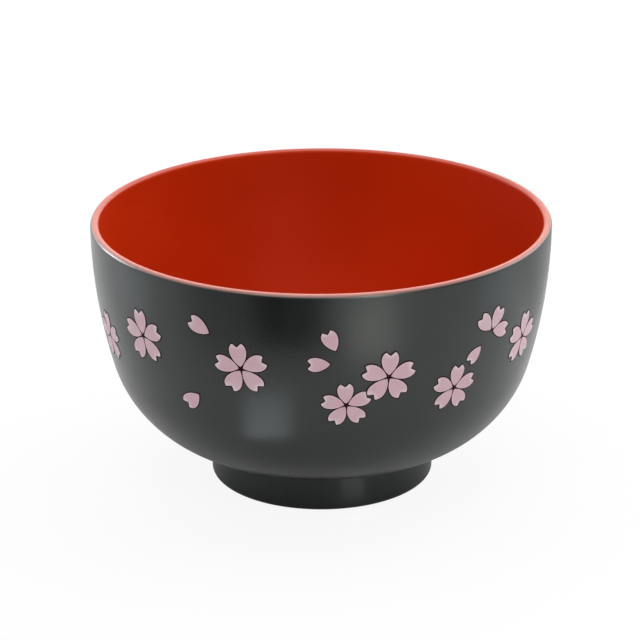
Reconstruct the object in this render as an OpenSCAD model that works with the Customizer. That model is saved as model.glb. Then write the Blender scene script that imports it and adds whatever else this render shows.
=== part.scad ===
// Lacquered soup bowl on a foot ring: a moulded core, a red coat inside and over the lip,
// a black coat outside, and cherry blossoms printed in pink over dark outlines.
// The bowl stands on z = 0, its axis is z, and the middle of the print faces -y.

/* [Bowl] */
// Outside diameter, which is widest just under the lip
rim_d = 110; // [106:0.5:116]
// Height from the table to the top of the lip
height = 65; // [62:0.5:68]
// Thickness of the wall at the lip, coats included
lip_w = 2; // [1.6:0.1:2.6]
// Radius of the outside wall's upper arc
side_r = 126; // [118:1:150]
// Radius of the outside wall's belly arc
belly_r = 30; // [28:0.5:33]
// Radius of the inside wall's upper arc
inner_side_r = 100; // [92:1:112]
// Radius of the inside wall's belly arc
inner_belly_r = 28; // [25:0.5:30]
// Thickness of the floor, coats included
floor_t = 4; // [3.2:0.1:5]

/* [Foot] */
// Outside diameter of the foot ring
foot_d = 54; // [50:0.5:58]
// Height at which the belly meets the foot ring
foot_h = 9; // [8:0.1:10]
// Thickness of the foot ring, coats included
foot_t = 3.6; // [3:0.1:4.5]
// Radius of the fillet between the belly and the foot ring
foot_fillet_r = 0.8; // [0.4:0.1:1.2]
// Radius of the foot ring's outer bottom edge
foot_edge_r = 1.2; // [0.6:0.1:1.4]
// Radius of the foot ring's inner bottom edge
foot_inner_edge_r = 0.8; // [0.5:0.1:1]
// Depth of the hollow under the bowl
recess_d = 7; // [6:0.1:8]
// Radius of the fillet round the hollow's roof
recess_fillet_r = 2; // [1:0.1:3]

/* [Lacquer] */
// Thickness of each coat of lacquer
coat_t = 0.25; // [0.15:0.05:0.4]
// Angle above the lip's outermost point at which the red coat meets the black one
red_end = 40; // [20:1:60]

/* [Print] */
// Drop from the top of the lip to the centre of the print's highest motif
print_drop = 11.5; // [10:0.5:14]
// Height of the band that the motifs' centres lie in
print_h = 16; // [12:0.5:18]
// Length of a petal, from the blossom's centre to the tips of its lobes
petal_l = 6.4; // [5.4:0.1:6.8]
// Greatest width of a petal
petal_w = 4.1; // [3.7:0.1:4.4]
// Distance between the tips of a petal's two lobes
lobe_w = 2.2; // [1.7:0.1:2.6]
// Depth of the notch between the lobes
notch_d = 0.95; // [0.6:0.05:1.2]
// Distance from the blossom's centre to the point of each petal
petal_start = 0.55; // [0.4:0.05:0.8]
// How far the dark outline stands out round each petal
outline_w = 0.3; // [0.2:0.05:0.4]
// Half width of the widest gap between petals that the dark outline fills
outline_fill = 0.35; // [0.25:0.05:0.45]
// Thickness of the dark outline's ink
outline_t = 0.1; // [0.06:0.02:0.16]
// Thickness of the pink ink
ink_t = 0.1; // [0.06:0.02:0.16]

/* [Hidden] */
// Each motif: name, degrees round from the front, share of the way down the print's band, turn of
// its first petal from level, size against a full petal, and which of the five petals it has
motifs = [
    ["blossom_1", -69, 0.71, 22, 0.92, [0:4]],
    ["blossom_2", -49, 0.33, 25, 1, [0:4]],
    ["blossom_3", -19.7, 0.47, 25, 0.99, [0:4]],
    ["blossom_4", 6, 0.99, 22, 0.88, [0:4]],
    ["blossom_5", 16.3, 0.58, 16, 0.98, [0:4]],
    ["blossom_6", 35, 0.96, 12, 0.91, [0:4]],
    ["blossom_7", 60.5, 0.58, 13, 0.97, [0:4]],
    ["half_blossom", 45.5, 0.21, 61, 0.92, [-1:1]],
    ["loose_petal_1", -27, 0, 153, 0.96, [0:0]],
    ["loose_petal_2", -32, 1, 221, 0.94, [0:0]],
    ["loose_petal_3", 3.5, 0.14, 114, 0.88, [0:0]],
    ["loose_petal_4", 2.5, 0.32, 182, 0.86, [0:0]],
    ["loose_petal_5", 42.5, 0.38, 227, 0.8, [0:0]]
];
// The first of these two lies under the second, which hides part of one petal
lower_motif = motifs[3];
upper_motif = motifs[4];
// The same print is repeated half a turn round the bowl
sides = [["front", 0], ["back", 180]];
petal_turn = 72;
// Handles of the curve along a petal's side, as shares of the petal's width and length
first_handle = [0.48, 0.27];
second_handle = [0.71, 0.82];
// Half depth of the motifs' cutters, and the angles that one motif and a whole print take up
print_reach = 2;
motif_span = 24;
print_span = 170;
// Counts of straight steps along the curves
side_steps = 12;
belly_steps = 18;
lip_steps = 16;
fillet_steps = 5;
petal_steps = 7;
$fn = 180;

rim_r = rim_d / 2;
lip_r = lip_w / 2;
lip_z = height - lip_r;
foot_r = foot_d / 2;
foot_inner_r = foot_r - foot_t;
floor_z = recess_d + floor_t;

// Centres of the arcs as [radius, height], each arc tangent to the one before it
lip_c = [rim_r - lip_r, lip_z];
side_c = [rim_r - side_r, lip_z];
belly_c = meet(side_c, side_r - belly_r, [foot_r, foot_h], belly_r);
foot_fillet_c = [
    foot_r + foot_fillet_r,
    belly_c.y - leg(belly_r + foot_fillet_r, foot_r + foot_fillet_r - belly_c.x)
];
foot_edge_c = [foot_r - foot_edge_r, foot_edge_r];
foot_inner_edge_c = [foot_inner_r + foot_inner_edge_r, foot_inner_edge_r];
recess_fillet_c = [foot_inner_r - recess_fillet_r, recess_d - recess_fillet_r];
inner_side_c = [rim_r - lip_w - inner_side_r, lip_z];
inner_belly_z = floor_z + inner_belly_r;
inner_belly_c = [
    inner_side_c.x + leg(inner_side_r - inner_belly_r, lip_z - inner_belly_z),
    inner_belly_z
];

// Directions at which one arc passes into the next
side_end = bearing(side_c, belly_c);
belly_end = bearing(belly_c, foot_fillet_c);
inner_side_end = bearing(inner_side_c, inner_belly_c);

function outlines_name(side) = str(side[0], "_outlines");

function motif_name(side, motif) = str(side[0], "_", motif[0]);

function reversed(list) = [for (i = [len(list) - 1 : -1 : 0]) list[i]];

// Third side of a right triangle
function leg(hypotenuse, side) = sqrt(hypotenuse ^ 2 - side ^ 2);

function bearing(from, to) = atan2(to.y - from.y, to.x - from.x);

// Upper point that lies r1 from c1 and r2 from c2
function meet(c1, r1, c2, r2) =
    let (
        gap = norm(c2 - c1),
        along = (r1 ^ 2 - r2 ^ 2 + gap ^ 2) / (2 * gap),
        way = (c2 - c1) / gap
    )
    c1 + along * way + leg(r1, along) * [-way.y, way.x];

// Points along an arc; one that carries on from another leaves out its first point
function arc(c, r, from, to, steps, first = 0) =
    [for (i = [first : steps]) let (a = from + (to - from) * i / steps) c + r * [cos(a), sin(a)]];

// Outside wall from under the lip to the foot, at a depth below the finished surface
function wall_path(depth) = concat(
    arc(side_c, side_r - depth, 0, side_end, side_steps),
    arc(belly_c, belly_r - depth, side_end, belly_end, belly_steps, 1)
);

// Black coat: the lip's outer edge to one step above the wall, the wall, the fillet and the foot ring
function outer_path(depth) = concat(
    arc(lip_c, lip_r - depth, red_end, red_end / fillet_steps, fillet_steps - 1),
    wall_path(depth),
    arc(foot_fillet_c, foot_fillet_r + depth, belly_end + 180, 180, fillet_steps, 1),
    arc(foot_edge_c, foot_edge_r - depth, 0, -90, fillet_steps)
);

// Red coat: over the lip, down the inside wall and across the floor
function inner_path(depth) = concat(
    arc(lip_c, lip_r - depth, red_end, 180, lip_steps),
    arc(inner_side_c, inner_side_r + depth, 0, inner_side_end, side_steps, 1),
    arc(inner_belly_c, inner_belly_r + depth, inner_side_end, -90, belly_steps, 1),
    [[0, floor_z - depth]]
);

// Recess coat: the foot ring's inner bottom edge, its inside and the hollow's roof
function recess_path(depth) = concat(
    arc(foot_inner_edge_c, foot_inner_edge_r - depth, -90, -180, fillet_steps),
    arc(recess_fillet_c, recess_fillet_r + depth, 0, 90, fillet_steps),
    [[0, recess_d + depth]]
);

// Whole core under the coats, with a bare ring at z = 0 for the bowl to stand on
function core_path() = concat(
    outer_path(coat_t),
    [[foot_edge_c.x, 0], [foot_inner_edge_c.x, 0]],
    recess_path(coat_t),
    reversed(inner_path(coat_t))
);

// Direction of the wall's outward normal at a height: the side's arc, or the belly's under it
function wall_tilt(z) =
    let (tilt = asin((z - side_c.y) / side_r))
    tilt > side_end ? tilt : asin((z - belly_c.y) / belly_r);

function wall_radius(z) =
    let (tilt = wall_tilt(z))
    tilt > side_end ? side_c.x + side_r * cos(tilt) : belly_c.x + belly_r * cos(tilt);

// One side of a petal that points along y, from its base to the tip of a lobe
function petal_side() =
    let (
        run = petal_l - petal_start,
        p0 = [0, petal_start],
        p1 = p0 + [first_handle.x * petal_w, first_handle.y * run],
        p2 = p0 + [second_handle.x * petal_w, second_handle.y * run],
        p3 = [lobe_w / 2, petal_l]
    )
    [for (i = [0 : petal_steps])
        let (t = i / petal_steps, s = 1 - t)
        s ^ 3 * p0 + 3 * s ^ 2 * t * p1 + 3 * s * t ^ 2 * p2 + t ^ 3 * p3];

function petal_points() = concat(
    petal_side(),
    [[0, petal_l - notch_d]],
    [for (i = [petal_steps : -1 : 1]) [-petal_side()[i].x, petal_side()[i].y]]
);

module coat(path, under) {
    rotate_extrude() polygon(concat(path, reversed(under)));
}

// Layer on the outside wall between two heights above it, centred at an angle from the front
module wall_layer(low, high, centre, span) {
    rotate([0, 0, centre - 90 - span / 2])
        rotate_extrude(angle = span)
            polygon(concat(wall_path(-low), reversed(wall_path(-high))));
}

// Petals of one motif, drawn flat
module petals(motif) {
    for (i = motif[5])
        rotate(motif[3] + petal_turn * i - 90)
            polygon(motif[4] * petal_points());
}

// Outline of one motif, drawn flat: its petals, grown until they join round a filled centre
module outline(motif) {
    offset(delta = -outline_fill)
        offset(delta = outline_w + outline_fill) petals(motif);
}

// Stands a flat drawing on the wall at a motif's place and cuts through the wall with it
module through_wall(motif, side) {
    z = height - print_drop - motif[2] * print_h;
    rotate([0, 0, motif[1] + side[1]])
        translate([0, -wall_radius(z), z])
            rotate([90 - wall_tilt(z), 0, 0])
                linear_extrude(2 * print_reach, center = true) children();
}

module bowl_core() {
    color("#4a3a30") rotate_extrude() polygon(core_path());
}

module red_inner_coat() {
    color("#a8240c") coat(inner_path(0), inner_path(coat_t));
}

module black_outer_coat() {
    color("#2c2e2c") coat(outer_path(0), outer_path(coat_t));
}

module foot_recess_coat() {
    color("#262826") coat(recess_path(0), recess_path(coat_t));
}

// Dark ink under all the motifs of one print
module outlines(side) {
    color("#341020")
        intersection() {
            wall_layer(0, outline_t, side[1], print_span);
            union() for (motif = motifs) through_wall(motif, side) outline(motif);
        }
}

// Pink ink of one motif, each petal apart
module motif_print(side, motif) {
    color("#d8b4bc")
        intersection() {
            wall_layer(outline_t, outline_t + ink_t, motif[1] + side[1], motif_span);
            difference() {
                through_wall(motif, side) petals(motif);
                if (motif == lower_motif) through_wall(upper_motif, side) outline(upper_motif);
            }
        }
}

bowl_core();
red_inner_coat();
black_outer_coat();
foot_recess_coat();
for (side = sides)
    outlines(side);
for (side = sides, motif = motifs)
    motif_print(side, motif);
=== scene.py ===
import math

import bmesh
import bpy
from mathutils import Matrix, Vector


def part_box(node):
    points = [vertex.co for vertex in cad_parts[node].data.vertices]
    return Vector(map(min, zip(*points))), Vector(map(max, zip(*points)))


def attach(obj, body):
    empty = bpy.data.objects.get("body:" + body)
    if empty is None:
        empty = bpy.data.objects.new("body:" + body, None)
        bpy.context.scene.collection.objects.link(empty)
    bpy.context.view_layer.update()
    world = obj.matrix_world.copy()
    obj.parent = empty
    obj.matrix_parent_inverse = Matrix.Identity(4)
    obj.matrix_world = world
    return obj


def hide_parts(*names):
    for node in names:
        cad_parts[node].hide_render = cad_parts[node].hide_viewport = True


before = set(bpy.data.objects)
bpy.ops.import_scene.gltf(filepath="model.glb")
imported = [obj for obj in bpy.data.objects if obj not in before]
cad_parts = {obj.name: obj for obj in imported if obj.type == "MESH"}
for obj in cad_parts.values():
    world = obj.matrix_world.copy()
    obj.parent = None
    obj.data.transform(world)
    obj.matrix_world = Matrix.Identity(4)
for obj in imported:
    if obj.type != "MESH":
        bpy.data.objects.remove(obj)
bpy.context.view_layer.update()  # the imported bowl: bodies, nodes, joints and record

print("frame loaded:", len(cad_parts), "nodes")


# Form of the bowl, in metres and degrees
bowl = {
    "rimR": round(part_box("black_outer_coat")[1].y, 4),  # widest, just under the lip
    "height": round(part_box("red_inner_coat")[1].z, 4),
    "lipR": 0.001,
    "sideR": 0.126,  # outside wall: a long arc, then the belly's
    "bellyR": 0.030,
    "innerSideR": 0.100,
    "innerBellyR": 0.028,
    "floorZ": 0.011,
    "footR": 0.027,
    "footH": 0.009,  # where the belly meets the foot
    "footT": 0.0036,
    "footFilletR": 0.0008,
    "footEdgeR": 0.0012,
    "footInnerEdgeR": 0.0008,
    "recessD": 0.007,
    "recessFilletR": 0.002,
    "coatT": 0.00025,
    "redEnd": 60,  # red meets black this far above the lip's widest point
    "edgeRound": 0.00009,  # soft edge where a coat stops
    "edgeSegments": 3,
    "smoothAngle": 40,
    "turns": 288,  # steps round the axis
    "weld": 0.000002,  # points nearer than this are joined
}
arcSteps = {  # straight steps that draw each arc of a section
    "lipEdge": 12,
    "side": 36,
    "belly": 56,
    "footFillet": 8,
    "footEdge": 10,
    "innerBelly": 48,
    "innerSide": 30,
    "lipTop": 24,
    "recessFillet": 10,
    "footInnerEdge": 8,
}
flatShares = (0, 0.15, 0.4, 0.7)  # points across a flat middle, as shares of its radius


def leg(hypotenuse, side):
    return math.sqrt(hypotenuse ** 2 - side ** 2)


def bearing(start, end):
    return math.degrees(math.atan2(end.y - start.y, end.x - start.x))


def onCircle(centre, radius, angle):
    return centre + radius * Vector((math.cos(math.radians(angle)), math.sin(math.radians(angle))))


def meet(c1, r1, c2, r2):  # point that lies r1 from c1 and r2 from c2, left of the way to c2
    way = c2 - c1
    gap = way.length
    along = (r1 ** 2 - r2 ** 2 + gap ** 2) / (2 * gap)
    way.normalize()
    return c1 + along * way + leg(r1, along) * Vector((-way.y, way.x))


def arc(name, centre, radius, start, end, first=0):
    steps = arcSteps[name]
    return [onCircle(centre, radius, start + (end - start) * i / steps) for i in range(first, steps + 1)]


# Arc centres as (radius, height), each arc of a wall tangent to the next
lipZ = bowl["height"] - bowl["lipR"]
lipC = Vector((bowl["rimR"] - bowl["lipR"], lipZ))
sideC = Vector((bowl["rimR"] - bowl["sideR"], lipZ))
bellyC = meet(sideC, bowl["sideR"] - bowl["bellyR"], Vector((bowl["footR"], bowl["footH"])), bowl["bellyR"])
filletX = bowl["footR"] + bowl["footFilletR"]
filletC = Vector((filletX, bellyC.y - leg(bowl["bellyR"] + bowl["footFilletR"], filletX - bellyC.x)))
footEdgeC = Vector((bowl["footR"] - bowl["footEdgeR"], bowl["footEdgeR"]))
footInnerR = bowl["footR"] - bowl["footT"]
footInnerEdgeC = Vector((footInnerR + bowl["footInnerEdgeR"], bowl["footInnerEdgeR"]))
recessC = Vector((footInnerR - bowl["recessFilletR"], bowl["recessD"] - bowl["recessFilletR"]))
innerSideC = Vector((bowl["rimR"] - 2 * bowl["lipR"] - bowl["innerSideR"], lipZ))
innerBellyZ = bowl["floorZ"] + bowl["innerBellyR"]
innerBellyRun = leg(bowl["innerSideR"] - bowl["innerBellyR"], lipZ - innerBellyZ)
innerBellyC = Vector((innerSideC.x + innerBellyRun, innerBellyZ))
sideEnd = bearing(sideC, bellyC)
bellyEnd = bearing(bellyC, filletC)
innerSideEnd = bearing(innerSideC, innerBellyC)


def blackPath(depth):  # lip's outer edge, wall, fillet and foot ring
    return (
        arc("lipEdge", lipC, bowl["lipR"] - depth, bowl["redEnd"], 0)
        + arc("side", sideC, bowl["sideR"] - depth, 0, sideEnd, 1)
        + arc("belly", bellyC, bowl["bellyR"] - depth, sideEnd, bellyEnd, 1)
        + arc("footFillet", filletC, bowl["footFilletR"] + depth, bellyEnd + 180, 180, 1)
        + arc("footEdge", footEdgeC, bowl["footEdgeR"] - depth, 0, -90)
    )


def redPath(depth):  # from the middle of the floor up the inside and over the lip
    floorZ = bowl["floorZ"] - depth
    return (
        [Vector((innerBellyC.x * share, floorZ)) for share in flatShares]
        + arc("innerBelly", innerBellyC, bowl["innerBellyR"] + depth, -90, innerSideEnd)
        + arc("innerSide", innerSideC, bowl["innerSideR"] + depth, innerSideEnd, 0, 1)
        + arc("lipTop", lipC, bowl["lipR"] - depth, 180, bowl["redEnd"], 1)
    )


def recessPath(depth):  # from the middle of the hollow's roof out to the foot's inner bottom edge
    roofZ = bowl["recessD"] + depth
    return (
        [Vector((recessC.x * share, roofZ)) for share in flatShares]
        + arc("recessFillet", recessC, bowl["recessFilletR"] + depth, 90, 0)
        + arc("footInnerEdge", footInnerEdgeC, bowl["footInnerEdgeR"] - depth, 180, 270)
    )


# Shader helpers
class Wire:  # a node's socket that takes part in Python expressions
    def __init__(self, tree, socket):
        self.tree = tree
        self.socket = socket

    def node(self, kind, settings, sockets, out=0):  # any node: its settings first, then its sockets
        made = self.tree.nodes.new(kind)
        for name, value in settings.items():
            setattr(made, name, value)
        for name, value in sockets.items():
            if isinstance(value, Wire):
                self.tree.links.new(value.socket, made.inputs[name])
            else:
                made.inputs[name].default_value = value
        return Wire(self.tree, made.outputs[out])

    def maths(self, operation, first, second):
        return self.node("ShaderNodeMath", {"operation": operation}, {0: first, 1: second})

    def __add__(self, other):
        return self.maths("ADD", self, other)

    def __radd__(self, other):
        return self.maths("ADD", other, self)

    def __sub__(self, other):
        return self.maths("SUBTRACT", self, other)

    def __rsub__(self, other):
        return self.maths("SUBTRACT", other, self)

    def __mul__(self, other):
        return self.maths("MULTIPLY", self, other)

    def __rmul__(self, other):
        return self.maths("MULTIPLY", other, self)

    def __abs__(self):
        return self.maths("ABSOLUTE", self, 0.0)

    def most(self, other):  # the larger of two
        return self.maths("MAXIMUM", self, other)

    def noise(self, scale, detail=2.0, rough=0.5):
        sockets = {"Vector": self, "Scale": scale, "Detail": detail, "Roughness": rough}
        return self.node("ShaderNodeTexNoise", {}, sockets)

    def span(self, low, high, toLow=0.0, toHigh=1.0):  # low to high becomes toLow to toHigh, clamped
        sockets = {"Value": self, "From Min": low, "From Max": high, "To Min": toLow, "To Max": toHigh}
        return self.node("ShaderNodeMapRange", {"interpolation_type": "SMOOTHSTEP"}, sockets)

    def blend(self, fromColor, toColor):  # this wire is the factor; 6, 7 and 2 are the colour sockets
        return self.node("ShaderNodeMix", {"data_type": "RGBA"}, {0: self, 6: fromColor, 7: toColor}, 2)

    def bump(self, depth):
        return self.node("ShaderNodeBump", {}, {"Height": self, "Distance": depth, "Strength": 1.0})

    def part(self, axis):  # one axis of a vector
        return self.node("ShaderNodeSeparateXYZ", {}, {"Vector": self}, axis)

    def twin(self, name):  # another output of the same node
        return Wire(self.tree, self.socket.node.outputs[name])


def startMaterial(name):  # the material, its shader and the piece's own coordinates
    material = bpy.data.materials.new(name)
    material.use_nodes = True
    tree = material.node_tree
    place = tree.nodes.new("ShaderNodeTexCoord")
    return material, tree.nodes["Principled BSDF"], Wire(tree, place.outputs["Object"])


def feed(shader, **wires):  # links or sets the shader's sockets, named in camelCase
    names = {
        "baseColor": "Base Color",
        "roughness": "Roughness",
        "normal": "Normal",
        "specular": "Specular IOR Level",
        "specularTint": "Specular Tint",
    }
    for key, value in wires.items():
        socket = shader.inputs[names[key]]
        if isinstance(value, Wire):
            value.tree.links.new(value.socket, socket)
        else:
            socket.default_value = value


# Painted highlight on the lip, which both lacquers share: a paler colour for the light that its rounded edge
# catches
lipHighlight = {
    "acrossY": (-bowl["rimR"], bowl["rimR"]),  # from the front of the rim to its back
    "amount": (1.0, 0.38),  # there: most at the front, where the lip catches more light
    "even": 0.85,  # the rest of it is cloudy
}


# share of painted highlight on the lip, strongest at the front where its edge catches more light
def lipHighlightShare(place, cloud, drops, backRise=0.0):  # drops: below the lip's top, where it starts and is full
    across = place.part(1)
    height = place.part(2) - across.span(*lipHighlight["acrossY"], 0.0, backRise)
    setIn = height.span(*(bowl["height"] - drop for drop in drops))
    patchy = lipHighlight["even"] + (1 - lipHighlight["even"]) * cloud
    return setIn * across.span(*lipHighlight["acrossY"], *lipHighlight["amount"]) * patchy


# Finishes
blackLook = {
    "deep": (0.0032, 0.0046, 0.0038, 1),
    "lifted": (0.0048, 0.0070, 0.0058, 1),
    "scuff": (0.040, 0.036, 0.032, 1),  # where the foot rubs on tables
    "scuffTop": 0.0009,
    "scuffSpan": (0.48, 0.62),  # of the fine noise
    "scuffRough": 0.25,
    "highlightColor": (0.50, 0.245, 0.205, 1),  # painted highlight on the lip's black edge, where it catches light
    "highlightDrops": (0.0007, 0.0001),
    "specular": 0.55,
    "tint": (0.97, 1.0, 0.985, 1),
    "cloudScale": 45,
    "cloudDetail": 3.0,
    "cloudSpan": (0.3, 0.7),
    "peelScale": 1100,
    "peelDetail": 1.5,
    "peelDepth": 0.0000030,
    "fineScale": 3300,
    "finePeel": 0.25,
    "fineRough": 0.04,
    "roughLow": 0.25,
    "roughCloud": 0.06,
}


def makeBlackLacquer():
    look = blackLook
    material, shader, place = startMaterial("black_lacquer")
    cloud = place.noise(look["cloudScale"], look["cloudDetail"]).span(*look["cloudSpan"])
    peel = place.noise(look["peelScale"], look["peelDetail"])
    fine = place.noise(look["fineScale"])
    rubbed = place.part(2).span(look["scuffTop"], 0.0) * fine.span(*look["scuffSpan"]) * cloud
    # painted highlight: the lip's black edge is paled where it catches light
    paintedHighlight = lipHighlightShare(place, cloud, look["highlightDrops"])
    baseColor = rubbed.blend(cloud.blend(look["deep"], look["lifted"]), look["scuff"])
    baseColor = paintedHighlight.blend(baseColor, look["highlightColor"])
    roughness = look["roughLow"] + look["roughCloud"] * cloud
    roughness = roughness + look["fineRough"] * fine + look["scuffRough"] * rubbed
    normal = (peel + look["finePeel"] * fine).bump(look["peelDepth"])
    feed(shader, baseColor=baseColor, roughness=roughness, normal=normal, specular=look["specular"],
         specularTint=look["tint"])
    return material


redLook = {
    "deep": (0.520, 0.0280, 0.0016, 1),
    "bright": (0.580, 0.0350, 0.0024, 1),
    "highlightColor": (0.80, 0.350, 0.298, 1),  # painted highlight that pales the red lip where it catches light
    "highlightDrops": (0.0009, 0.0007),
    "highlightBackRise": 0.0004,  # how much higher that painted highlight starts at the back
    "specular": 0.07,
    "cloudScale": 28,
    "cloudDetail": 3.0,
    "cloudSpan": (0.3, 0.7),
    "cloudTone": 0.7,
    "peelScale": 1000,
    "peelDetail": 1.5,
    "peelDepth": 0.0000035,
    "grainScale": 4000,
    "grainTone": 0.3,
    "grainPeel": 0.2,
    "grainRough": 0.05,
    "roughLow": 0.36,
    "roughCloud": 0.08,
}


def makeRedLacquer():
    look = redLook
    material, shader, place = startMaterial("red_lacquer")
    cloud = place.noise(look["cloudScale"], look["cloudDetail"]).span(*look["cloudSpan"])
    peel = place.noise(look["peelScale"], look["peelDetail"])
    grain = place.noise(look["grainScale"])
    tone = look["cloudTone"] * cloud + look["grainTone"] * grain
    # painted highlight: the red lip is paled where it catches light
    paintedHighlight = lipHighlightShare(place, cloud, look["highlightDrops"], look["highlightBackRise"])
    baseColor = paintedHighlight.blend(tone.blend(look["deep"], look["bright"]), look["highlightColor"])
    roughness = look["roughLow"] + look["roughCloud"] * cloud + look["grainRough"] * grain
    normal = (peel + look["grainPeel"] * grain).bump(look["peelDepth"])
    feed(shader, baseColor=baseColor, roughness=roughness, normal=normal, specular=look["specular"])
    return material


pinkLook = {
    "middle": (0.61, 0.385, 0.438, 1),
    "mottle": (0.62, 0.440, 0.485, 1),
    "tip": (0.71, 0.590, 0.615, 1),
    "tipStart": 0.66,  # share of the petal's length where its tips start to pale
    "edgeStart": 0.70,  # share of its half width where its edges start to pale
    "edgePale": 0.45,  # against the tips
    "evenPale": 0.75,  # the rest of that paleness is grainy
    "cloudScale": 260,
    "cloudSpan": (0.35, 0.65),
    "cloudTone": 0.5,
    "grainScale": 1500,
    "grainTone": 0.2,
    "grainDepth": 0.000004,
    "roughLow": 0.36,
    "roughGrain": 0.10,
    "specular": 0.3,
}


def makePinkInk():
    look = pinkLook
    material, shader, place = startMaterial("pink_ink")
    petalMap = place.twin("UV")  # the flat petal: x over its width, y along it
    across = abs(petalMap.part(0) * 2 - 1)
    along = petalMap.part(1)
    cloud = place.noise(look["cloudScale"]).span(*look["cloudSpan"])
    grain = place.noise(look["grainScale"])
    paleTip = along.span(look["tipStart"], 1.0)
    paleEdge = across.span(look["edgeStart"], 1.0) * look["edgePale"]
    pale = paleTip.most(paleEdge) * (look["evenPale"] + (1 - look["evenPale"]) * grain)
    mottle = look["cloudTone"] * cloud + look["grainTone"] * grain
    baseColor = pale.blend(mottle.blend(look["middle"], look["mottle"]), look["tip"])
    roughness = look["roughLow"] + look["roughGrain"] * grain
    normal = grain.bump(look["grainDepth"])
    feed(shader, baseColor=baseColor, roughness=roughness, normal=normal, specular=look["specular"])
    return material


wineLook = {
    "dark": (0.0170, 0.0016, 0.0045, 1),
    "warm": (0.0350, 0.0050, 0.0100, 1),
    "cloudScale": 220,
    "cloudSpan": (0.35, 0.65),
    "grainScale": 1500,
    "grainDepth": 0.000003,
    "roughLow": 0.34,
    "roughGrain": 0.12,
    "specular": 0.04,
}


def makeOutlineInk():
    look = wineLook
    material, shader, place = startMaterial("outline_ink")
    cloud = place.noise(look["cloudScale"]).span(*look["cloudSpan"])
    grain = place.noise(look["grainScale"])
    roughness = look["roughLow"] + look["roughGrain"] * grain
    normal = grain.bump(look["grainDepth"])
    feed(shader, baseColor=cloud.blend(look["dark"], look["warm"]), roughness=roughness, normal=normal,
         specular=look["specular"])
    return material


coreLook = {
    "resin": (0.050, 0.034, 0.024, 1),
    "fibre": (0.135, 0.092, 0.060, 1),
    "fibreScale": 2400,
    "fibreDetail": 4.0,
    "fibreNoise": 0.65,  # how rough that noise is
    "fibreSpan": (0.42, 0.68),
    "fibreDepth": 0.00002,
    "evenFibre": 0.5,  # the rest of it is cloudy
    "cloudScale": 300,
    "roughLow": 0.62,
    "roughFibre": 0.18,
}


def makeCore():
    look = coreLook
    material, shader, place = startMaterial("wood_powder_core")
    fibre = place.noise(look["fibreScale"], look["fibreDetail"], look["fibreNoise"]).span(*look["fibreSpan"])
    cloud = place.noise(look["cloudScale"])
    shown = fibre * (look["evenFibre"] + (1 - look["evenFibre"]) * cloud)
    roughness = look["roughLow"] + look["roughFibre"] * fibre
    normal = fibre.bump(look["fibreDepth"])
    feed(shader, baseColor=shown.blend(look["resin"], look["fibre"]), roughness=roughness, normal=normal)
    return material


finish = {
    "core": makeCore(),
    "red_lacquer": makeRedLacquer(),
    "black_lacquer": makeBlackLacquer(),
    "outline_ink": makeOutlineInk(),
    "pink_ink": makePinkInk(),
}
print("finishes made:", len(finish))


# Modelling helpers
def selectOnly(*pieces):
    bpy.ops.object.select_all(action="DESELECT")
    for piece in pieces:
        piece.select_set(True)
    bpy.context.view_layer.objects.active = pieces[0]


def editAll(piece):
    selectOnly(piece)
    bpy.ops.object.mode_set(mode="EDIT")
    bpy.ops.mesh.select_all(action="SELECT")


def copyPiece(piece, name):
    copy = piece.copy()
    copy.data = piece.data.copy()
    copy.name = copy.data.name = name
    bpy.context.collection.objects.link(copy)
    return copy


def applyPlace(piece):
    selectOnly(piece)
    bpy.ops.object.transform_apply(location=True, rotation=True, scale=True)


def applyModifier(piece, kind, **settings):
    selectOnly(piece)
    modifier = piece.modifiers.new(kind.lower(), kind)
    for name, value in settings.items():
        setattr(modifier, name, value)
    bpy.ops.object.modifier_apply(modifier=modifier.name)


def setFinish(piece, slot):
    piece.data.materials.clear()
    piece.data.materials.append(finish[slot])


def dress(piece, slot, node):  # finish, body and the node that the piece stands for
    setFinish(piece, slot)
    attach(piece, "root")
    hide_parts(node)


def selectRing(spot):  # edges of one ring round the axis, by the ring's (radius, height)
    mesh = bmesh.from_edit_mesh(bpy.context.object.data)
    for edge in mesh.edges:
        edge.select = all(
            abs(math.hypot(v.co.x, v.co.y) - spot.x) < bowl["weld"] and abs(v.co.z - spot.y) < bowl["weld"]
            for v in edge.verts
        )
    mesh.select_flush_mode()
    bmesh.update_edit_mesh(bpy.context.object.data)


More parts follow.
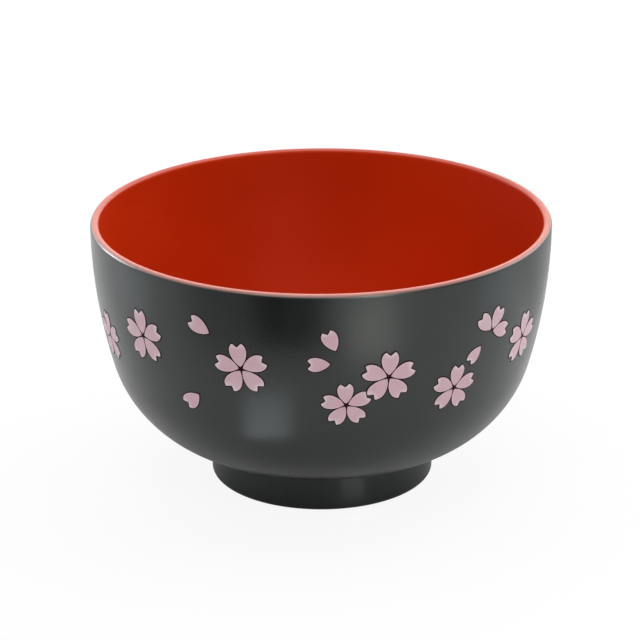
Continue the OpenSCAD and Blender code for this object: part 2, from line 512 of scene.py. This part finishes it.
# Coats of lacquer: a section drawn by extruding one vertex, then spun round the axis
def spinCoat(name, path, slot, rings=()):
    outside = path(0)
    section = outside + path(bowl["coatT"])[::-1]
    closed = outside[0].x > bowl["weld"]  # a section that starts on the axis stays open there
    bpy.ops.object.select_all(action="DESELECT")
    bpy.ops.mesh.primitive_plane_add(size=bowl["coatT"])
    coat = bpy.context.object
    coat.name = coat.data.name = name + "_lacquer"
    editAll(coat)
    bpy.ops.mesh.merge(type="CENTER")
    bpy.ops.transform.translate(value=(section[0].x, 0, section[0].y))
    for start, end in zip(section, section[1:]):
        step = end - start
        bpy.ops.mesh.extrude_region_move(TRANSFORM_OT_translate={"value": (step.x, 0, step.y)})
    if closed:
        mesh = bmesh.from_edit_mesh(coat.data)
        mesh.verts.ensure_lookup_table()
        for vertex in mesh.verts:
            vertex.select = vertex.index in (0, len(section) - 1)
        mesh.select_flush_mode()
        bpy.ops.mesh.edge_face_add()
    bpy.ops.mesh.select_all(action="SELECT")
    bpy.ops.mesh.spin(steps=bowl["turns"], angle=2 * math.pi, center=(0, 0, 0), axis=(0, 0, 1))
    bpy.ops.mesh.select_all(action="SELECT")
    bpy.ops.mesh.remove_doubles(threshold=bowl["weld"])
    bpy.ops.mesh.normals_make_consistent(inside=False)
    for ring in rings:  # soften the edge where the coat stops
        bpy.ops.mesh.select_all(action="DESELECT")
        selectRing(outside[ring])
        bpy.ops.mesh.bevel(offset=bowl["edgeRound"], segments=bowl["edgeSegments"], affect="EDGES")
    bpy.ops.object.mode_set(mode="OBJECT")
    bpy.ops.object.shade_smooth_by_angle(angle=math.radians(bowl["smoothAngle"]))
    dress(coat, slot, name)
    print("coat spun:", name, len(coat.data.polygons), "faces")
    return coat


wall = spinCoat("black_outer_coat", blackPath, "black_lacquer", [0])
spinCoat("red_inner_coat", redPath, "red_lacquer", [-1])
spinCoat("foot_recess_coat", recessPath, "black_lacquer")
setFinish(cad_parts["bowl_core"], "core")


# Petal of the print, which points along y from its blossom's centre
petal = {
    "length": 0.0064,
    "width": 0.0041,
    "lobeGap": 0.0022,  # between the tips of its two lobes
    "notch": 0.00095,
    "start": 0.00055,  # from the blossom's centre to the petal's point
    "handles": ((0.48, 0.27), (0.71, 0.82)),  # shares of the width and of the run
    "rows": 18,
    "columns": 12,
    "turn": 72,  # from one petal of a blossom to the next
    "sink": 3,  # how late the rows dip towards the notch
    "cutError": 0.0000002,  # what is nearer to a cut counts as on it
}


def petalSide(share, grow):  # point of the right side's cubic curve, pushed outwards by grow
    run = petal["length"] - petal["start"]
    base = Vector((0, petal["start"]))
    tip = Vector((petal["lobeGap"] / 2, petal["length"]))
    p1, p2 = (base + Vector((x * petal["width"], y * run)) for x, y in petal["handles"])
    rest = 1 - share
    spot = rest ** 3 * base + 3 * rest ** 2 * share * p1 + 3 * rest * share ** 2 * p2 + share ** 3 * tip
    way = rest ** 2 * (p1 - base) + 2 * rest * share * (p2 - p1) + share ** 2 * (tip - p2)
    side = Vector((way.y, -way.x)).normalized()
    if share == 1:  # the lobe's tip grows along both of its edges
        notchSide = Vector((-petal["notch"], petal["lobeGap"] / 2)).normalized()
        side = (side + notchSide) / (1 + side.dot(notchSide))
    return spot + grow * side


def petalPoint(across, along, grow):  # across from -1 to 1, along from 0 to 1
    if along == 0:
        return Vector((0, 0 if grow else petal["start"], 0))
    side = petalSide(along, grow)
    slope = math.atan2(petal["lobeGap"] / 2, petal["notch"])
    notchY = petal["length"] - petal["notch"] + grow / math.sin(slope)
    dip = (petalSide(1, grow).y - notchY) * along ** petal["sink"]
    return Vector((across * side.x, side.y - (1 - abs(across)) * dip, 0))


def makePetal(name, grow=0, cuts=()):
    bpy.ops.object.select_all(action="DESELECT")
    bpy.ops.mesh.primitive_grid_add(x_subdivisions=petal["columns"], y_subdivisions=petal["rows"], size=2)
    master = bpy.context.object
    master.name = master.data.name = name
    for vertex in master.data.vertices:  # the grid runs from -1 to 1 each way
        vertex.co = petalPoint(vertex.co.x, (vertex.co.y + 1) / 2, grow)
    editAll(master)
    bpy.ops.mesh.remove_doubles(threshold=bowl["weld"])
    for side in cuts:  # trims a grown petal half way to its neighbour
        half = math.radians(petal["turn"] / 2)
        bpy.ops.mesh.select_all(action="SELECT")
        bpy.ops.mesh.bisect(plane_co=(0, 0, 0), plane_no=(side * math.cos(half), -math.sin(half), 0),
                            clear_outer=True, threshold=petal["cutError"])
    bpy.ops.object.mode_set(mode="OBJECT")
    return master


# The print, in a band below the lip
printBand = {
    "drop": 0.0115,  # from the top of the lip to the highest motif's centre
    "height": 0.016,
    "outlineGrow": 0.00026,
    "lift": 0.002,  # drawn this far off the wall, then wrapped on it
    "sunk": -0.00001,  # this and the next two are heights above the wall
    "outlineTop": 0.00006,
    "inkTop": 0.00010,
    "upper": "blossom_5",  # lies over part of blossom_4
    "overlap": 0.00007,  # its extra height
    "edgeRound": 0.00002,
    "edgeSegments": 2,
    "edgeAngle": 50,
    "smoothAngle": 35,
}
wholeBlossom = range(5)  # petals by number, from the one that a motif's turn is for
halfBlossom = range(-1, 2)
onePetal = range(1)
# Motifs: degrees round from the front, share of the way down the band, degrees of turn from level,
# size against the petal above, and petals
motifs = {
    "blossom_1": {"around": -69, "down": 0.71, "turn": 22, "size": 0.92, "petals": wholeBlossom},
    "blossom_2": {"around": -49, "down": 0.33, "turn": 25, "size": 1, "petals": wholeBlossom},
    "blossom_3": {"around": -19.7, "down": 0.47, "turn": 25, "size": 0.99, "petals": wholeBlossom},
    "blossom_4": {"around": 6, "down": 0.99, "turn": 22, "size": 0.88, "petals": wholeBlossom},
    "blossom_5": {"around": 16.3, "down": 0.58, "turn": 16, "size": 0.98, "petals": wholeBlossom},
    "blossom_6": {"around": 35, "down": 0.96, "turn": 12, "size": 0.91, "petals": wholeBlossom},
    "blossom_7": {"around": 60.5, "down": 0.58, "turn": 13, "size": 0.97, "petals": wholeBlossom},
    "half_blossom": {"around": 45.5, "down": 0.21, "turn": 61, "size": 0.92, "petals": halfBlossom},
    "loose_petal_1": {"around": -27, "down": 0, "turn": 153, "size": 0.96, "petals": onePetal},
    "loose_petal_2": {"around": -32, "down": 1, "turn": 221, "size": 0.94, "petals": onePetal},
    "loose_petal_3": {"around": 3.5, "down": 0.14, "turn": 114, "size": 0.88, "petals": onePetal},
    "loose_petal_4": {"around": 2.5, "down": 0.32, "turn": 182, "size": 0.86, "petals": onePetal},
    "loose_petal_5": {"around": 42.5, "down": 0.38, "turn": 227, "size": 0.8, "petals": onePetal},
}

inkPetal = makePetal("ink_petal")
outlinePetals = {
    cuts: makePetal("outline_petal", printBand["outlineGrow"], cuts)
    for cuts in ((), (1,), (-1,), (1, -1))
}


def wallSpot(z):  # radius and tilt of the outside wall at a height
    tilt = math.degrees(math.asin((z - sideC.y) / bowl["sideR"]))
    if tilt > sideEnd:
        return onCircle(sideC, bowl["sideR"], tilt).x, tilt
    tilt = math.degrees(math.asin((z - bellyC.y) / bowl["bellyR"]))
    return onCircle(bellyC, bowl["bellyR"], tilt).x, tilt


def onWall(motif):  # stands a flat drawing just off the wall at the motif's place
    z = bowl["height"] - printBand["drop"] - motif["down"] * printBand["height"]
    radius, tilt = wallSpot(z)
    return (
        Matrix.Rotation(math.radians(motif["around"]), 4, "Z")
        @ Matrix.Translation((0, -radius, z))
        @ Matrix.Rotation(math.radians(90 - tilt), 4, "X")
        @ Matrix.Translation((0, 0, printBand["lift"]))
    )


def neighbourCuts(petals, index):  # sides of a petal on which it has a neighbour
    if petals == wholeBlossom:
        return (1, -1)
    return tuple(side for side in (1, -1) if index - side in petals)


def layPrint(name, motif, masters, low, high):  # petals drawn flat, wrapped on the wall and thickened
    petals = []
    for index, master in zip(motif["petals"], masters):
        copy = copyPiece(master, name)
        copy.scale = (motif["size"], motif["size"], 1)
        copy.rotation_euler.z = math.radians(motif["turn"] + petal["turn"] * index - 90)
        applyPlace(copy)
        petals.append(copy)
    selectOnly(*petals)
    if len(petals) > 1:
        bpy.ops.object.join()
    piece = bpy.context.object
    piece.name = piece.data.name = name
    editAll(piece)
    bpy.ops.mesh.remove_doubles(threshold=bowl["weld"])
    bpy.ops.object.mode_set(mode="OBJECT")
    piece.matrix_world = onWall(motif)
    bpy.context.view_layer.update()
    applyModifier(piece, "SHRINKWRAP", target=wall, wrap_method="PROJECT", use_project_z=True,
                  use_positive_direction=False, use_negative_direction=True, offset=low)
    applyPlace(piece)
    applyModifier(piece, "SOLIDIFY", thickness=high - low, offset=1.0, use_even_offset=True)
    return piece


def finishPrint(piece, slot, name):  # softens a print's edges and copies it to the back
    applyModifier(piece, "BEVEL", width=printBand["edgeRound"], segments=printBand["edgeSegments"],
                  limit_method="ANGLE", angle_limit=math.radians(printBand["edgeAngle"]))
    selectOnly(piece)
    bpy.ops.object.shade_smooth_by_angle(angle=math.radians(printBand["smoothAngle"]))
    back = copyPiece(piece, "back_" + name + "_print")
    back.rotation_euler.z = math.pi
    applyPlace(back)
    piece.name = piece.data.name = "front_" + name + "_print"
    dress(piece, slot, "front_" + name)
    dress(back, slot, "back_" + name)


outlineParts = []
for name, motif in motifs.items():
    extra = printBand["overlap"] if name == printBand["upper"] else 0
    inkMasters = [inkPetal] * len(motif["petals"])
    inkLow = printBand["outlineTop"] / 2 + extra
    ink = layPrint(name, motif, inkMasters, inkLow, printBand["inkTop"] + extra)
    finishPrint(ink, "pink_ink", name)
    outlineMasters = [outlinePetals[neighbourCuts(motif["petals"], index)] for index in motif["petals"]]
    outlineTop = printBand["outlineTop"] + extra
    outlineParts.append(layPrint("outline_" + name, motif, outlineMasters, printBand["sunk"], outlineTop))
selectOnly(*outlineParts)
bpy.ops.object.join()
finishPrint(bpy.context.object, "outline_ink", "outlines")
for master in [inkPetal, *outlinePetals.values()]:
    bpy.data.objects.remove(master)
print("print laid:", len(motifs), "motifs on each side")


# Floor and world
studio = {
    "floorSize": 8.0,
    "floorZ": -0.0001,
    "floorColor": (0.92, 0.92, 0.92, 1),
    "floorWhite": 0.90,  # share of plain white that the camera sees in the floor
    "floorMirror": 0.08,  # share that gloss and glass see in it, so that they show its shadow too
    "worldWhite": 1.0,  # the same two shares of the world
    "worldMirror": 0.5,
    "sky": {"Color": (0.97, 0.985, 1.0, 1), "Strength": 0.20},
    "white": {"Color": (1, 1, 1, 1), "Strength": 1.0},
}


def whiteShare(tree, seen, mirrored):  # plain white that the camera sees, and that gloss and glass see
    path = tree.nodes.new("ShaderNodeLightPath")
    names = ("Is Camera Ray", "Is Glossy Ray", "Is Transmission Ray")
    straight, glossy, through = (Wire(tree, path.outputs[name]) for name in names)
    return seen * straight + mirrored * (glossy + through)


def mixShaders(share, plain, white, output):  # and sends the mix to the tree's output
    mixed = share.node("ShaderNodeMixShader", {}, {0: share, 1: plain, 2: white})
    share.tree.links.new(mixed.socket, share.tree.nodes.new(output).inputs["Surface"])


def makeFloor():
    bpy.ops.object.select_all(action="DESELECT")
    bpy.ops.mesh.primitive_plane_add(size=studio["floorSize"], location=(0, 0, studio["floorZ"]))
    floor = bpy.context.object
    floor.name = "floor"
    material = bpy.data.materials.new("pale_floor")
    material.use_nodes = True
    material.node_tree.nodes.clear()
    share = whiteShare(material.node_tree, studio["floorWhite"], studio["floorMirror"])
    paint = share.node("ShaderNodeBsdfDiffuse", {}, {"Color": studio["floorColor"]})
    white = share.node("ShaderNodeEmission", {}, studio["white"])
    mixShaders(share, paint, white, "ShaderNodeOutputMaterial")
    floor.data.materials.append(material)


def makeWorld():
    world = bpy.data.worlds.new("studio")
    bpy.context.scene.world = world
    world.use_nodes = True
    world.node_tree.nodes.clear()
    share = whiteShare(world.node_tree, studio["worldWhite"], studio["worldMirror"])
    sky = share.node("ShaderNodeBackground", {}, studio["sky"])
    white = share.node("ShaderNodeBackground", {}, studio["white"])
    mixShaders(share, sky, white, "ShaderNodeOutputWorld")


# Soft boxes: where each stands, its size, its brightness against plain white and what it faces
softBoxes = {
    "top_box": {"place": (0.0, 0.15, 0.90), "size": (0.90, 0.70), "level": 2.1, "aim": (0, 0, 0)},
    "back_box": {"place": (0.0, 0.80, 0.32), "size": (1.40, 0.42), "level": 2.2, "aim": (0, 0, 0)},
    "front_box": {"place": (-0.24, -0.66, 0.80), "size": (0.70, 0.50), "level": 2.2, "aim": (0, 0, 0)},
    "strip_box": {"place": (0.176, -0.415, 0.22), "size": (0.18, 0.44), "level": 1.0, "aim": (0, 0, 0)},
    "left_box": {"place": (-0.72, 0.28, 0.42), "size": (0.70, 0.60), "level": 0.8, "aim": (0, 0, 0)},
    "left_fill": {"place": (-0.45, -0.30, 0.07), "size": (0.30, 0.10), "level": 2.6,
                  "aim": (0, 0, 0.05)},  # low, for the print on the left
    "right_box": {"place": (0.72, 0.28, 0.42), "size": (0.70, 0.60), "level": 2.8, "aim": (0, 0, 0)},
    "foot_box": {"place": (0.0105, -0.0313, 0.0034), "size": (0.008, 0.0066), "level": 0.5,
                 "aim": (0.0072, -0.0260, 0.0034)},  # pale stripe down the foot
}


def addSoftBox(name, box):
    bpy.ops.object.select_all(action="DESELECT")
    bpy.ops.object.light_add(type="AREA", location=box["place"])
    lamp = bpy.context.object
    lamp.name = name
    lamp.data.shape = "RECTANGLE"
    lamp.data.size, lamp.data.size_y = box["size"]
    lamp.data.energy = box["level"] * math.pi * box["size"][0] * box["size"][1]
    way = Vector(box["aim"]) - Vector(box["place"])
    lamp.rotation_euler = way.to_track_quat("-Z", "Y").to_euler()
    lamp.visible_camera = False


# Cards that the lacquer mirrors: corners in millimetres, brightness, and whether matt surfaces see them
cardBase = (0.02, 0.02, 0.02, 1)  # so dark that a card shows little but its own light
millimetres = 1000  # in a metre
cards = {
    "strip_card": {  # pale band below the lip, right of the middle
        "corners": ((26, -127, 3), (62, -108, 3), (108, -184, 3), (48, -219, 3)),
        "color": (1.0, 0.985, 0.96, 1),
        "level": 2.6,
        "lights": True,
    },
    "window_card": {  # bluish patch on the belly, left of the middle
        "corners": ((-46, -78, 2), (-20, -91, 2), (-14, -64, 2), (-31, -53, 2)),
        "color": (0.90, 0.96, 1.0, 1),
        "level": 2.2,
        "lights": False,
    },
    "left_card": {  # cool sheen near the left side
        "corners": ((-140, -20, 2), (-150, 45, 2), (-250, 70, 2), (-230, -40, 2)),
        "color": (0.90, 0.95, 1.0, 1),
        "level": 1.4,
        "lights": False,
    },
    "right_card": {  # cool sheen near the right side
        "corners": ((140, -50, 2), (250, -60, 2), (250, 25, 2), (145, 25, 2)),
        "color": (0.90, 0.95, 1.0, 1),
        "level": 1.4,
        "lights": False,
    },
    "grey_flag": {  # quieter edge on the right
        "corners": ((95, 45, 2), (205, 45, 2), (300, 240, 2), (100, 240, 2)),
        "color": (0.97, 0.98, 1.0, 1),
        "level": 0.75,
        "lights": False,
    },
    "glint_card": {  # lilac glint on the lip's edge, at the left
        "corners": ((-482, 103, 60), (-388, 303, 60), (-388, 303, 235), (-482, 103, 235)),
        "color": (0.95, 0.92, 1.0, 1),
        "level": 12.0,
        "lights": False,
    },
    "edge_card": {  # grey glint on the lip's edge, above the pale band
        "corners": ((125, -384, 20), (200, -352, 20), (200, -352, 480), (125, -384, 480)),
        "color": (0.95, 1.0, 0.96, 1),
        "level": 8.0,
        "lights": False,
    },
    "shade_flag": {  # where the left of the wall shades off into the dark zone
        "corners": ((-100, -70, 3), (-58, -120, 3), (-180, -296, 90), (-300, -147, 90)),
        "color": (1.0, 1.0, 1.0, 1),
        "level": 0.48,
        "lights": False,
    },
    "dark_flag": {  # dark zone below the lip, left of the middle
        "corners": ((-58, -120, 3), (3, -142, 3), (10, -354, 90), (-180, -296, 90)),
        "color": (0.02, 0.02, 0.02, 1),
        "level": 0.0,
        "lights": True,
    },
}


def addCard(name, card):
    bpy.ops.object.select_all(action="DESELECT")
    bpy.ops.mesh.primitive_plane_add(size=1)
    board = bpy.context.object
    board.name = name
    for index, corner in zip(board.data.polygons[0].vertices, card["corners"]):
        board.data.vertices[index].co = Vector(corner) / millimetres
    material = bpy.data.materials.new(name)
    material.use_nodes = True
    shader = material.node_tree.nodes["Principled BSDF"]
    shader.inputs["Base Color"].default_value = cardBase
    shader.inputs["Roughness"].default_value = 1.0
    shader.inputs["Emission Color"].default_value = card["color"]
    shader.inputs["Emission Strength"].default_value = card["level"]
    board.data.materials.append(material)
    board.visible_camera = False
    board.visible_shadow = False
    board.visible_diffuse = card["lights"]


makeFloor()
makeWorld()
for name, box in softBoxes.items():
    addSoftBox(name, box)
for name, card in cards.items():
    addCard(name, card)
print("studio lit:", len(softBoxes), "soft boxes,", len(cards), "cards")


# Camera
view = {
    "aim": (-0.00035, 0, 0.03838),
    "distance": 0.670,
    "elevation": 20.842,
    "roll": -0.257,
    "lens": 155.66,
    "sensor": 36.0,
    "clipStart": 0.01,
}
tilt = math.radians(view["elevation"])
back = Vector((0, -math.cos(tilt), math.sin(tilt)))
bpy.ops.object.camera_add(location=Vector(view["aim"]) + view["distance"] * back)
camera = bpy.context.object
camera.data.lens = view["lens"]
camera.data.sensor_width = view["sensor"]
camera.data.clip_start = view["clipStart"]
camera.rotation_mode = "QUATERNION"
camera.rotation_quaternion = (
    Matrix.Rotation(math.pi / 2 - tilt, 3, "X") @ Matrix.Rotation(math.radians(view["roll"]), 3, "Z")
).to_quaternion()
bpy.context.scene.camera = camera
bpy.context.scene.view_settings.view_transform = "Standard"
print("camera set")
